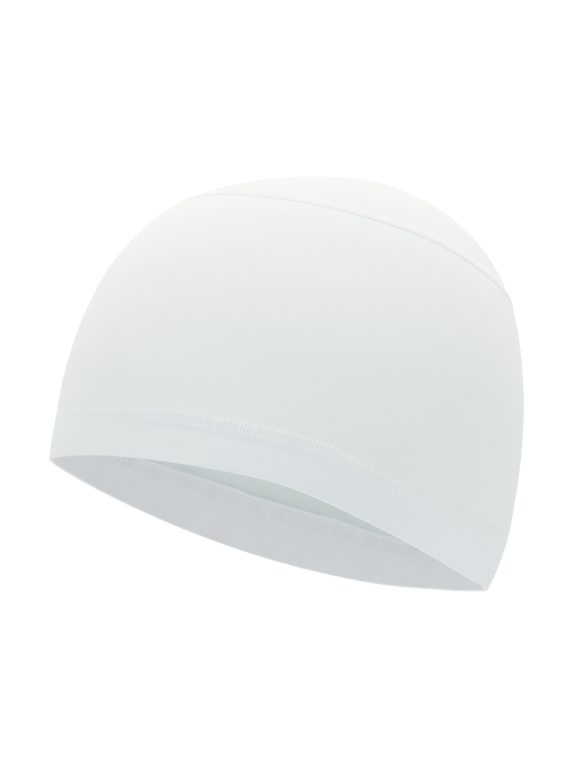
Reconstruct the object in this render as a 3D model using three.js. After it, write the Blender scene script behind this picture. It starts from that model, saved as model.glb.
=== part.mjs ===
// Close-fitting stretch liner cap: two side panels, an oval crown gusset and a folded hem.
// Millimetres, Z up. The brow is at -Y, the wearer's left at +X. The origin is the middle of
// the opening. The cap is shaped level, then pitched so that the brow sits high.

import * as THREE from "three";

// Sizes
const OPENING_LENGTH = 191.6;
const OPENING_BREADTH = 150.0;
const CROWN_HEIGHT = 157.5;
const PITCH_DEG = 17.0;
const CLOTH = 1.1;
const GAP = 0.3;
const SIDE_ARCH = 1.5;
const ARCH_FADES_AT = 60.0;
const STITCH_LINE_HEIGHT = 17.2;
const HEM_INSIDE_HEIGHT = 26.0;
const FOLD_RADIUS = 1.25;

// Level sections of the dome, as fractions of the sizes above.
// height: of CROWN_HEIGHT. front, back: reach from the origin, of OPENING_LENGTH.
// half: half width, of OPENING_BREADTH.
// ovalFront, ovalBack: plan of the front and back half, from a cornered lens at 0 to an ellipse at 1.
const SECTIONS = [
  { height: 0.0, front: 0.495, back: 0.505, half: 0.5, ovalFront: 0.36, ovalBack: 0.26 },
  { height: 0.128, front: 0.513, back: 0.521, half: 0.511, ovalFront: 0.56, ovalBack: 0.48 },
  { height: 0.265, front: 0.526, back: 0.513, half: 0.516, ovalFront: 0.76, ovalBack: 0.7 },
  { height: 0.423, front: 0.522, back: 0.493, half: 0.511, ovalFront: 0.9, ovalBack: 0.88 },
  { height: 0.59, front: 0.494, back: 0.457, half: 0.479, ovalFront: 0.97, ovalBack: 0.97 },
  { height: 0.757, front: 0.414, back: 0.397, half: 0.411, ovalFront: 1.0, ovalBack: 1.0 },
  { height: 0.884, front: 0.266, back: 0.31, half: 0.303, ovalFront: 1.0, ovalBack: 1.0 },
  { height: 0.968, front: 0.086, back: 0.193, half: 0.163, ovalFront: 1.0, ovalBack: 1.0 },
  { height: 1.0, front: -0.068, back: 0.068, half: 0.0, ovalFront: 1.0, ovalBack: 1.0 },
];

// Height of the crown seam round the dome. turn: degrees from the brow to the nape.
const CROWN_SEAM = [
  { turn: 0, height: 119.5 },
  { turn: 30, height: 120.2 },
  { turn: 60, height: 121.6 },
  { turn: 90, height: 123.2 },
  { turn: 120, height: 124.0 },
  { turn: 150, height: 121.2 },
  { turn: 180, height: 119.8 },
];

// Mesh divisions
const HALF_TURN_STEPS = 40;
const PANEL_ROWS = 16;
const GUSSET_RINGS = 9;

const TOP_LEVEL = SECTIONS.length - 1;
const NEARLY = 1e-3;
const PI = Math.PI;

// Smooth curve through four neighbouring values, t from 0 at b to 1 at c.
function smoothBetween(a, b, c, d, t) {
  const slope = c - a;
  const bend = 2 * a - 5 * b + 4 * c - d;
  const twist = 3 * b - a - 3 * c + d;
  return b + 0.5 * t * (slope + t * (bend + t * twist));
}

// The section past the apex mirrors the one before it, so that the crown closes smoothly.
function sectionAt(index) {
  if (index < 0) {
    const first = SECTIONS[0];
    const second = SECTIONS[1];
    const out = {};
    for (const key of Object.keys(first)) {
      out[key] = 2 * first[key] - second[key];
    }
    return out;
  }
  if (index > TOP_LEVEL) {
    const last = SECTIONS[2 * TOP_LEVEL - index];
    return {
      height: last.height,
      front: -last.back,
      back: -last.front,
      half: -last.half,
      ovalFront: last.ovalFront,
      ovalBack: last.ovalBack,
    };
  }
  return SECTIONS[index];
}

// Section between the table's rows. level runs from 0 at the rim to TOP_LEVEL at the apex.
function sectionBetween(level) {
  const low = Math.min(Math.max(Math.floor(level), 0), TOP_LEVEL - 1);
  const t = level - low;
  const rows = [low - 1, low, low + 1, low + 2].map(sectionAt);
  const out = {};
  for (const key of Object.keys(SECTIONS[0])) {
    out[key] = smoothBetween(rows[0][key], rows[1][key], rows[2][key], rows[3][key], t);
  }
  return {
    height: out.height * CROWN_HEIGHT,
    front: out.front * OPENING_LENGTH,
    back: out.back * OPENING_LENGTH,
    half: out.half * OPENING_BREADTH,
    ovalFront: out.ovalFront,
    ovalBack: out.ovalBack,
  };
}

// Level at which the dome has the given height.
function levelOfHeight(height) {
  let low = 0;
  let high = TOP_LEVEL;
  for (let step = 0; step < 40; step += 1) {
    const middle = 0.5 * (low + high);
    if (sectionBetween(middle).height < height) {
      low = middle;
    } else {
      high = middle;
    }
  }
  return 0.5 * (low + high);
}

// Point of the outer skin. turn is 0 at the brow, a quarter at the left, a half at the nape.
function skinPoint(level, turn) {
  const row = sectionBetween(level);
  const cosine = Math.cos(turn);
  const sine = Math.sin(turn);
  const spread = Math.min((row.front + row.back) / OPENING_LENGTH, 1);
  const middle = 0.5 * (row.back - row.front) * (1 - spread);
  const reach = cosine > 0 ? row.front + middle : row.back - middle;
  const oval = cosine > 0 ? row.ovalFront : row.ovalBack;
  const x = row.half * sine * (oval + (1 - oval) * Math.abs(sine));
  const y = middle - reach * cosine;
  const fade = Math.max(1 - row.height / ARCH_FADES_AT, 0);
  const z = row.height + SIDE_ARCH * sine * sine * fade * fade;
  return new THREE.Vector3(x, y, z);
}

// Outward direction of the skin.
function skinNormal(level, turn) {
  const at = Math.min(Math.max(level, NEARLY), TOP_LEVEL - 2 * NEARLY);
  const round = skinPoint(at, turn + NEARLY).sub(skinPoint(at, turn - NEARLY));
  const rise = skinPoint(at + NEARLY, turn).sub(skinPoint(at - NEARLY, turn));
  return round.cross(rise).normalize();
}

// Point at a depth inside the outer skin.
function clothPoint(level, turn, depth) {
  return skinPoint(level, turn).addScaledVector(skinNormal(level, turn), -depth);
}

function crownSeamHeight(turn) {
  const last = CROWN_SEAM.length - 1;
  const along = (Math.abs(turn) / PI) * last;
  const low = Math.min(Math.floor(along), last - 1);
  const pick = [low - 1, low, low + 1, low + 2].map((index) => {
    if (index < 0) {
      return 2 * CROWN_SEAM[0].height - CROWN_SEAM[1].height;
    }
    if (index > last) {
      return 2 * CROWN_SEAM[last].height - CROWN_SEAM[last - 1].height;
    }
    return CROWN_SEAM[index].height;
  });
  return smoothBetween(pick[0], pick[1], pick[2], pick[3], along - low);
}

// Closed solids are built from a list of points and a list of triangles.
function makeMesh(name, points, triangles, colour) {
  const geometry = new THREE.BufferGeometry();
  const flat = points.flatMap((point) => [point.x, point.y, point.z]);
  geometry.setAttribute("position", new THREE.Float32BufferAttribute(flat, 3));
  geometry.setIndex(triangles.flat());
  geometry.rotateX((-PITCH_DEG * PI) / 180);
  geometry.computeVertexNormals();
  const material = new THREE.MeshStandardMaterial({
    color: colour,
    roughness: 0.9,
    metalness: 0,
    side: THREE.DoubleSide,
  });
  const mesh = new THREE.Mesh(geometry, material);
  mesh.name = name;
  return mesh;
}

function pushQuad(triangles, a, b, c, d) {
  triangles.push([a, b, c], [a, c, d]);
}

// One side panel: rows from the stitch line of the hem up to the crown seam.
function sidePanel(name, side, colour) {
  const points = [];
  const triangles = [];
  const columns = HALF_TURN_STEPS + 1;
  const layer = columns * (PANEL_ROWS + 1);
  const halfGap = GAP / 2;
  const bottom = STITCH_LINE_HEIGHT + halfGap;
  for (const depth of [0, CLOTH]) {
    for (let row = 0; row <= PANEL_ROWS; row += 1) {
      for (let column = 0; column < columns; column += 1) {
        const turn = (column / HALF_TURN_STEPS) * PI;
        const top = crownSeamHeight(turn) - halfGap;
        const height = bottom + (top - bottom) * (row / PANEL_ROWS);
        const point = clothPoint(levelOfHeight(height), turn, depth);
        point.x = side * Math.max(point.x, halfGap);
        points.push(point);
      }
    }
  }
  const at = (depthIndex, row, column) => depthIndex * layer + row * columns + column;
  const quad = (a, b, c, d) => {
    if (side > 0) {
      pushQuad(triangles, a, b, c, d);
    } else {
      pushQuad(triangles, d, c, b, a);
    }
  };
  for (let row = 0; row < PANEL_ROWS; row += 1) {
    const up = row + 1;
    for (let column = 0; column < HALF_TURN_STEPS; column += 1) {
      const next = column + 1;
      quad(at(0, row, column), at(0, row, next), at(0, up, next), at(0, up, column));
      quad(at(1, row, column), at(1, up, column), at(1, up, next), at(1, row, next));
    }
    quad(at(0, row, 0), at(0, up, 0), at(1, up, 0), at(1, row, 0));
    const end = HALF_TURN_STEPS;
    quad(at(0, row, end), at(1, row, end), at(1, up, end), at(0, up, end));
  }
  for (let column = 0; column < HALF_TURN_STEPS; column += 1) {
    const next = column + 1;
    const top = PANEL_ROWS;
    quad(at(0, 0, column), at(1, 0, column), at(1, 0, next), at(0, 0, next));
    quad(at(0, top, column), at(0, top, next), at(1, top, next), at(1, top, column));
  }
  return makeMesh(name, points, triangles, colour);
}

// The crown gusset: rings from the crown seam to the apex, on both faces of the cloth.
function crownGusset(name, colour) {
  const points = [];
  const triangles = [];
  const around = 2 * HALF_TURN_STEPS;
  const layer = around * GUSSET_RINGS + 1;
  for (const depth of [0, CLOTH]) {
    for (let ring = 0; ring < GUSSET_RINGS; ring += 1) {
      for (let step = 0; step < around; step += 1) {
        const turn = (step / HALF_TURN_STEPS) * PI;
        const fold = turn > PI ? 2 * PI - turn : turn;
        const edge = levelOfHeight(crownSeamHeight(fold) + GAP / 2);
        const level = edge + (TOP_LEVEL - edge) * (ring / GUSSET_RINGS);
        points.push(clothPoint(level, turn, depth));
      }
    }
    points.push(clothPoint(TOP_LEVEL, PI / 2, depth));
  }
  const at = (depthIndex, ring, step) => depthIndex * layer + ring * around + (step % around);
  const apex = (depthIndex) => depthIndex * layer + layer - 1;
  const lastRing = GUSSET_RINGS - 1;
  for (let step = 0; step < around; step += 1) {
    const next = step + 1;
    for (let ring = 0; ring < lastRing; ring += 1) {
      const up = ring + 1;
      pushQuad(triangles, at(0, ring, step), at(0, ring, next), at(0, up, next), at(0, up, step));
      pushQuad(triangles, at(1, ring, step), at(1, up, step), at(1, up, next), at(1, ring, next));
    }
    triangles.push([at(0, lastRing, step), at(0, lastRing, next), apex(0)]);
    triangles.push([at(1, lastRing, next), at(1, lastRing, step), apex(1)]);
    pushQuad(triangles, at(0, 0, step), at(1, 0, step), at(1, 0, next), at(0, 0, next));
  }
  return makeMesh(name, points, triangles, colour);
}

// Outline of the folded hem: depth inside the skin and height above the rim, from the stitch
// line down the outside, round the fold, up the inside, and back down between the layers.
function hemOutline() {
  const inner = 2 * CLOTH + GAP;
  const top = STITCH_LINE_HEIGHT - GAP / 2;
  const slot = CLOTH + FOLD_RADIUS / 2;
  return [
    { depth: 0, height: top },
    { depth: 0, height: top / 2 },
    { depth: 0, height: FOLD_RADIUS },
    { depth: inner * 0.15, height: FOLD_RADIUS * 0.3 },
    { depth: inner * 0.5, height: 0 },
    { depth: inner * 0.85, height: FOLD_RADIUS * 0.3 },
    { depth: inner, height: FOLD_RADIUS },
    { depth: inner, height: top / 2 },
    { depth: inner, height: top },
    { depth: inner, height: HEM_INSIDE_HEIGHT },
    { depth: inner - CLOTH, height: HEM_INSIDE_HEIGHT },
    { depth: inner - CLOTH, height: top },
    { depth: inner - CLOTH, height: top / 2 },
    { depth: inner - CLOTH, height: slot },
    { depth: CLOTH, height: slot },
    { depth: CLOTH, height: top / 2 },
    { depth: CLOTH, height: top },
  ];
}

// The hem band: the outline carried once round the opening.
function hemBand(name, colour) {
  const points = [];
  const triangles = [];
  const outline = hemOutline();
  const around = 2 * HALF_TURN_STEPS;
  const levels = outline.map((corner) => levelOfHeight(corner.height));
  for (let step = 0; step < around; step += 1) {
    const turn = (step / HALF_TURN_STEPS) * PI;
    outline.forEach((corner, index) => {
      points.push(clothPoint(levels[index], turn, corner.depth));
    });
  }
  const count = outline.length;
  for (let step = 0; step < around; step += 1) {
    const here = step * count;
    const next = ((step + 1) % around) * count;
    for (let index = 0; index < count; index += 1) {
      const after = (index + 1) % count;
      pushQuad(triangles, here + index, here + after, next + after, next + index);
    }
  }
  return makeMesh(name, points, triangles, colour);
}

const PANEL_COLOUR = 0xe6e9e6;
const GUSSET_COLOUR = 0xf1f1ed;
const HEM_COLOUR = 0xdfe4e9;

const cap = new THREE.Group();
cap.name = "helmet_liner";
cap.add(
  sidePanel("side_panel_left", 1, PANEL_COLOUR),
  sidePanel("side_panel_right", -1, PANEL_COLOUR),
  crownGusset("crown_gusset", GUSSET_COLOUR),
  hemBand("hem_band", HEM_COLOUR),
);

export default cap;
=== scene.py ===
"""A stretch liner cap dressed for its render: knitted panels, a folded hem and cover stitches."""

import logging
import math
from collections.abc import Callable
from dataclasses import astuple, dataclass, replace
from enum import Enum
from functools import cached_property

import bpy
import numpy as np
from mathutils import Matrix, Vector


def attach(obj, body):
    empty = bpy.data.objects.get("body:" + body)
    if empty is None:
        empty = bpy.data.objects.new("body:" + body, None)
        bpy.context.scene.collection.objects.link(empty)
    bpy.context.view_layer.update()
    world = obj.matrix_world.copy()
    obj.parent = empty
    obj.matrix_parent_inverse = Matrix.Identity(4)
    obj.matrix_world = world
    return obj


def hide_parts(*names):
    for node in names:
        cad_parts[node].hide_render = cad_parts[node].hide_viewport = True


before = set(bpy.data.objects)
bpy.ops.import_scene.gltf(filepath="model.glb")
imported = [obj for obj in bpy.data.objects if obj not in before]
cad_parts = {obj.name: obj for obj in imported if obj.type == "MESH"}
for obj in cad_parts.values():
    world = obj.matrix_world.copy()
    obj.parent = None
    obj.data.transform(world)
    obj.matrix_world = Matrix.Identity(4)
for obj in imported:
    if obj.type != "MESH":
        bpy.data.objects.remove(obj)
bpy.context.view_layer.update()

LOG = logging.getLogger("helmet_liner")
MM = 0.001
SEED = 7
# Step in level and in turn over which the skin's slopes are measured.
NUDGE = 1e-3
# Entries in the table that turns a height into a level.
HEIGHT_POINTS = 8001
# Points nearer than this are joined into one, in metres.
WELD = 2e-6
# Faces that meet at a smaller angle than this are shaded as one smooth face.
SMOOTH_BELOW_DEG = 50.0


# The cap's form. Lengths are in millimetres, in the cap's own level frame, until to_row.


@dataclass(frozen=True)
class Section:
    """One level section of the dome, as fractions of the cap's main sizes."""

    height: float
    front: float
    back: float
    half: float
    oval_front: float
    oval_back: float


# From the rim to the apex, in the order of the fields above.
SECTIONS: tuple[Section, ...] = (
    Section(0.0, 0.495, 0.505, 0.5, 0.36, 0.26),
    Section(0.128, 0.513, 0.521, 0.511, 0.56, 0.48),
    Section(0.265, 0.526, 0.513, 0.516, 0.76, 0.7),
    Section(0.423, 0.522, 0.493, 0.511, 0.9, 0.88),
    Section(0.59, 0.494, 0.457, 0.479, 0.97, 0.97),
    Section(0.757, 0.414, 0.397, 0.411, 1.0, 1.0),
    Section(0.884, 0.266, 0.31, 0.303, 1.0, 1.0),
    Section(0.968, 0.086, 0.193, 0.163, 1.0, 1.0),
    Section(1.0, -0.068, 0.068, 0.0, 1.0, 1.0),
)

# Height of the crown seam, every thirty degrees from the brow to the nape.
CROWN_SEAM_HEIGHTS: tuple[float, ...] = (119.5, 120.2, 121.6, 123.2, 124.0, 121.2, 119.8)

# How far the hem's stitches stray above their line, every ten degrees from brow to nape.
FRONT_DRIFT: tuple[float, ...] = (0.3, 0.1, -0.9, -1.6, -1.7, -1.2, -0.3, 0.2, 0.3, 1.1)
BACK_DRIFT: tuple[float, ...] = (1.6, 0.0, -1.0, -1.4, -1.8, -2.6, -3.0, -3.1, -3.2)


def spline(rows: np.ndarray, at: np.ndarray) -> np.ndarray:
    """Smooth curve through rows that has one spare row at each end.

    Args:
        rows: Values to pass through, first axis along the curve.
        at: Place along the curve, 0 at the second row.

    Returns:
        The values at each place.
    """
    last = len(rows) - 3
    at = np.clip(np.asarray(at, dtype=float), 0.0, last - 1e-9)
    low = np.floor(at).astype(int)
    t = (at - low).reshape(at.shape + (1,) * (rows.ndim - 1))
    a, b, c, d = rows[low], rows[low + 1], rows[low + 2], rows[low + 3]
    slope = c - a
    bend = 2 * a - 5 * b + 4 * c - d
    twist = 3 * b - a - 3 * c + d
    return b + 0.5 * t * (slope + t * (bend + t * twist))


def hill(x: np.ndarray, centre: float, width: float) -> np.ndarray:
    """A smooth bump of height one."""
    return np.exp(-(((x - centre) / width) ** 2))


def ramp(x: np.ndarray, start: float, end: float) -> np.ndarray:
    """A smooth rise from 0 at the start to 1 at the end."""
    t = np.clip((x - start) / (end - start), 0.0, 1.0)
    return t * t * (3 - 2 * t)


def from_brow(turn: np.ndarray) -> np.ndarray:
    """Turn away from the brow on either side, from 0 to pi."""
    return np.abs((np.asarray(turn) + math.pi) % (2 * math.pi) - math.pi)


@dataclass(frozen=True)
class CapForm:
    """The skin of the cap as it sits on a head, and the lines where its pieces are joined."""

    opening_length: float = 191.6
    opening_breadth: float = 150.0
    crown_height: float = 157.5
    pitch_deg: float = 17.0
    side_arch: float = 1.5
    arch_fades_at: float = 60.0
    stitch_line: float = 17.2
    # The rim's waves on the near and far side. Their middles and widths are cosines of the turn.
    near_rim_drop: float = 0.8
    near_rim_lift: float = 1.85
    near_rim_middle: float = -0.05
    near_rim_width: float = 0.31
    far_rim_drop: float = 0.35
    far_rim_lift: float = 4.4
    far_rim_middle: float = -0.93
    far_rim_width: float = 0.2
    nape_lift: float = 1.4
    nape_width: float = 0.09
    nape_flare: float = 0.8
    flare_height: float = 11.0
    # Pull of the crown seam at the brow, and the turns between which it grows to its full one.
    brow_pull: float = 0.4
    pull_grows: tuple[float, float] = (1.2, 2.05)

    @cached_property
    def rows(self) -> np.ndarray:
        """The section table in millimetres, with a spare row at the rim and past the apex.

        Returns:
            One row for each section, in the order of its fields.
        """
        scale = [self.crown_height, self.opening_length, self.opening_length]
        scale += [self.opening_breadth, 1.0, 1.0]
        table = np.array([astuple(section) for section in SECTIONS]) * scale
        below = 2 * table[0] - table[1]
        # Past the apex the sections mirror, so that front and back change places.
        above = table[-2][[0, 2, 1, 3, 4, 5]] * [1, -1, -1, -1, 1, 1]
        return np.vstack([below, table, above])

    @cached_property
    def top_level(self) -> int:
        """Level of the apex."""
        return len(SECTIONS) - 1

    @cached_property
    def height_table(self) -> tuple[np.ndarray, np.ndarray]:
        """Heights and their levels, for looking a level up."""
        levels = np.linspace(0.0, self.top_level, HEIGHT_POINTS)
        return np.maximum.accumulate(spline(self.rows, levels)[:, 0]), levels

    def level_of(self, height: np.ndarray) -> np.ndarray:
        """Level at which the dome has the given height."""
        heights, levels = self.height_table
        return np.interp(height, heights, levels)

    def skin(self, level: np.ndarray, turn: np.ndarray) -> np.ndarray:
        """Points of the smooth outer skin.

        Args:
            level: 0 at the rim, top_level at the apex.
            turn: Radians from the brow towards the left.

        Returns:
            Points, with the three coordinates on the last axis.
        """
        level, turn = np.broadcast_arrays(np.asarray(level, float), np.asarray(turn, float))
        row = spline(self.rows, level)
        height, front, back, half = (row[..., i] for i in range(4))
        cosine, sine = np.cos(turn), np.sin(turn)
        spread = np.minimum((front + back) / self.opening_length, 1.0)
        middle = 0.5 * (back - front) * (1 - spread)
        at_nape = hill(cosine, -1.0, self.nape_width)
        flare = self.nape_flare * at_nape * hill(height, 0.0, self.flare_height)
        reach = np.where(cosine > 0, front + middle, back - middle + flare)
        oval = np.where(cosine > 0, row[..., 4], row[..., 5])
        x = half * sine * (oval + (1 - oval) * np.abs(sine))
        y = middle - reach * cosine
        fade = np.maximum(1 - height / self.arch_fades_at, 0.0)
        near = self.near_rim_lift * hill(cosine, self.near_rim_middle, self.near_rim_width)
        near = near - self.near_rim_drop
        far = self.far_rim_lift * hill(cosine, self.far_rim_middle, self.far_rim_width)
        far = far - self.far_rim_drop
        arch = self.side_arch * sine * sine + self.nape_lift * at_nape
        arch = arch + np.where(sine < 0, far * sine * sine, near * sine)
        z = height + arch * fade * fade
        return np.stack([x, y, z], axis=-1)

    def between_ends(self, level: np.ndarray) -> np.ndarray:
        """Level kept a nudge away from the rim and the apex."""
        return np.clip(level, NUDGE, self.top_level - 2 * NUDGE)

    def climb(self, level: np.ndarray, turn: np.ndarray) -> np.ndarray:
        """Way up the skin over two nudges of level."""
        at = self.between_ends(level)
        return self.skin(at + NUDGE, turn) - self.skin(at - NUDGE, turn)

    def normal(self, level: np.ndarray, turn: np.ndarray) -> np.ndarray:
        """Outward direction of the skin at each place.

        Args:
            level: 0 at the rim, top_level at the apex.
            turn: Radians from the brow towards the left.

        Returns:
            Directions of length one.
        """
        at = self.between_ends(level)
        around = self.skin(at, turn + NUDGE) - self.skin(at, turn - NUDGE)
        out = np.cross(around, self.climb(level, turn))
        return out / np.linalg.norm(out, axis=-1, keepdims=True)

    def rise_per_level(self, level: np.ndarray, turn: np.ndarray) -> np.ndarray:
        """Millimetres along the skin for one level, straight up."""
        return np.linalg.norm(self.climb(level, turn), axis=-1) / (2 * NUDGE)

    def above(self, level: np.ndarray, turn: np.ndarray, distance: np.ndarray) -> np.ndarray:
        """Level that lies a distance further up the skin, at the same turn."""
        halfway = level + 0.5 * distance / self.rise_per_level(level, turn)
        return level + distance / self.rise_per_level(halfway, turn)

    def crown_seam_level(self, turn: np.ndarray) -> np.ndarray:
        """Level of the crown seam.

        Args:
            turn: Radians from the brow.

        Returns:
            The level at each turn.
        """
        heights = np.array(CROWN_SEAM_HEIGHTS)
        low, high = 2 * heights[0] - heights[1], 2 * heights[-1] - heights[-2]
        table = np.concatenate([[low], heights, [high]])
        return self.level_of(spline(table, from_brow(turn) / math.pi * (len(heights) - 1)))

    def crown_seam_pull(self, turn: np.ndarray) -> np.ndarray:
        """How hard the crown seam is drawn in, hardest over the back of the head."""
        return self.brow_pull + (1 - self.brow_pull) * ramp(from_brow(turn), *self.pull_grows)

    def stitch_drift(self, turn: np.ndarray) -> np.ndarray:
        """How far the hem's stitches stray above their usual height.

        Args:
            turn: Radians from the brow.

        Returns:
            Millimetres at each turn.
        """
        drift = np.array(FRONT_DRIFT + BACK_DRIFT)
        table = np.concatenate([[drift[1]], drift, [drift[-2]]])
        return spline(table, from_brow(turn) / math.pi * (len(drift) - 1))

    def turn_beside_centre(self, level: np.ndarray, turn: np.ndarray, across: np.ndarray) -> np.ndarray:
        """Turn that lies a distance across the centre line at the brow or the nape.

        Args:
            level: 0 at the rim, top_level at the apex.
            turn: 0 at the brow, pi at the nape.
            across: Millimetres from the centre line towards the left.

        Returns:
            The turn of each place.
        """
        row = spline(self.rows, level)
        front = np.cos(turn) > 0
        oval = np.where(front, row[..., 4], row[..., 5])
        share = np.abs(across) / row[..., 3]
        flat = np.maximum(1 - oval, 1e-6)
        sine = (np.sqrt(oval * oval + 4 * flat * share) - oval) / (2 * flat)
        swing = np.arcsin(np.clip(sine, 0.0, 1.0)) * np.sign(across)
        return np.where(front, swing, math.pi - swing)

    def to_row(self, points: np.ndarray) -> np.ndarray:
        """Level millimetres to metres in the shared frame, with the brow pitched up.

        Args:
            points: Points with the three coordinates on the last axis.

        Returns:
            The same points in metres.
        """
        angle = math.radians(-self.pitch_deg)
        cosine, sine = math.cos(angle), math.sin(angle)
        x, y, z = points[..., 0], points[..., 1], points[..., 2]
        return MM * np.stack([x, cosine * y - sine * z, sine * y + cosine * z], axis=-1)


FORM = CapForm()


@dataclass(frozen=True)
class Fold:
    """A smooth fold with its middle and width. A depth below nothing stands proud."""

    depth: float
    middle: float
    width: float

    def at(self, place: np.ndarray) -> np.ndarray:
        """Depth at each place."""
        return self.depth * hill(place, self.middle, self.width)


@dataclass(frozen=True)
class ClothRelief:
    """How far the dressed cloth sinks below the smooth skin, in millimetres."""

    # The soft fold above the hem at the back. Its ends are cosines of the turn from the nape.
    crease: Fold = Fold(1.0, 22.6, 1.15)
    crease_starts: tuple[float, float] = (0.5, 0.9)
    crease_ends: tuple[float, float] = (0.95, 0.99)
    hollow: float = 0.35
    hollow_sinks: tuple[float, float] = (20.7, 23.7)
    hollow_rises: tuple[float, float] = (31.0, 23.7)
    # The sewn band, by height above the rim where the stitches don't stray.
    doubled_band: Fold = Fold(0.05, 19.0, 1.8)
    upper_needles: Fold = Fold(0.07, 21.0, 0.6)
    lower_needles: Fold = Fold(0.03, 13.8, 0.6)
    # The panel dips above the band at the sides, and the hem bulges below it.
    dip: float = 0.2
    dip_sinks: tuple[float, float] = (20.6, 23.6)
    dip_fades_over: float = 6.0
    dip_leaves_sides: tuple[float, float] = (0.4, 0.75)
    low_roll: Fold = Fold(-0.12, 8.0, 4.0)
    # Heights where the slow drape is full, and where the drag lines start to fade.
    drape_full_at: float = 40.0
    drag_height: float = 21.0
    drag_fades_over: float = 9.0

    def back_crease(self, height: np.ndarray, turn: np.ndarray) -> np.ndarray:
        """Depth of the fold above the hem at the back, on both sides of the nape.

        Args:
            height: Height above the rim.
            turn: Radians from the brow.

        Returns:
            Depth at each place.
        """
        behind = -np.cos(turn)
        along = ramp(behind, *self.crease_starts) * (1 - ramp(behind, *self.crease_ends))
        hollow = self.hollow * ramp(height, *self.hollow_rises) * ramp(height, *self.hollow_sinks)
        return along * (hollow + self.crease.at(height))

    def body(self, height: np.ndarray, turn: np.ndarray) -> np.ndarray:
        """Depth of the shape that sewing gives the cloth.

        Args:
            height: Height above the rim.
            turn: Radians from the brow.

        Returns:
            Depth at each place.
        """
        side = 1 - ramp(np.abs(np.cos(turn)), *self.dip_leaves_sides)
        sewn = height - FORM.stitch_drift(turn)
        needles = self.upper_needles.at(sewn) + self.lower_needles.at(sewn)
        past = np.maximum(sewn - self.dip_sinks[1], 0.0)
        dip = self.dip * ramp(sewn, *self.dip_sinks) * np.exp(-past / self.dip_fades_over)
        relief = self.doubled_band.at(sewn) + needles + dip * side
        return relief + self.back_crease(height, turn) + self.low_roll.at(height)

    def drape(self, height: np.ndarray, turn: np.ndarray) -> np.ndarray:
        """Depth of the slow unevenness of stretched cloth, and of fine drag lines above the hem.

        Args:
            height: Height above the rim.
            turn: Radians from the brow.

        Returns:
            Depth at each place.
        """
        # The numbers in each sine are the waves round the cap, their slant and their start.
        slow = 0.2 * np.sin(3 * turn + 0.045 * height + 0.8) * np.sin(0.035 * height + 1.3 * turn)
        slow = slow + 0.12 * np.sin(5 * turn - 0.03 * height + 2.1)
        fine = 0.05 * np.sin(47 * turn + 1.7 * np.sin(7 * turn)) + 0.03 * np.sin(83 * turn + 1.1)
        past = np.maximum(height - self.drag_height, 0.0)
        drag = np.exp(-past / self.drag_fades_over) * (height > 0)
        return slow * np.clip(height / self.drape_full_at, 0.0, 1.0) + fine * drag


RELIEF = ClothRelief()


# Mesh helpers


def deselect_all() -> None:
    """Leaves nothing selected, so that an operator acts on its own piece alone."""
    bpy.ops.object.select_all(action="DESELECT")


def make_active(piece: bpy.types.Object) -> None:
    """Selects one piece alone and makes it active."""
    deselect_all()
    piece.select_set(True)
    bpy.context.view_layer.objects.active = piece


def apply_modifier(piece: bpy.types.Object, kind: str, **settings: object) -> None:
    """Adds a modifier with its settings and applies it.

    Args:
        piece: The piece to change.
        kind: Blender's name of the modifier type.
        **settings: Properties of the modifier.
    """
    make_active(piece)
    modifier = piece.modifiers.new(kind.lower(), kind)
    for key, value in settings.items():
        setattr(modifier, key, value)
    bpy.ops.object.modifier_apply(modifier=modifier.name)


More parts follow.
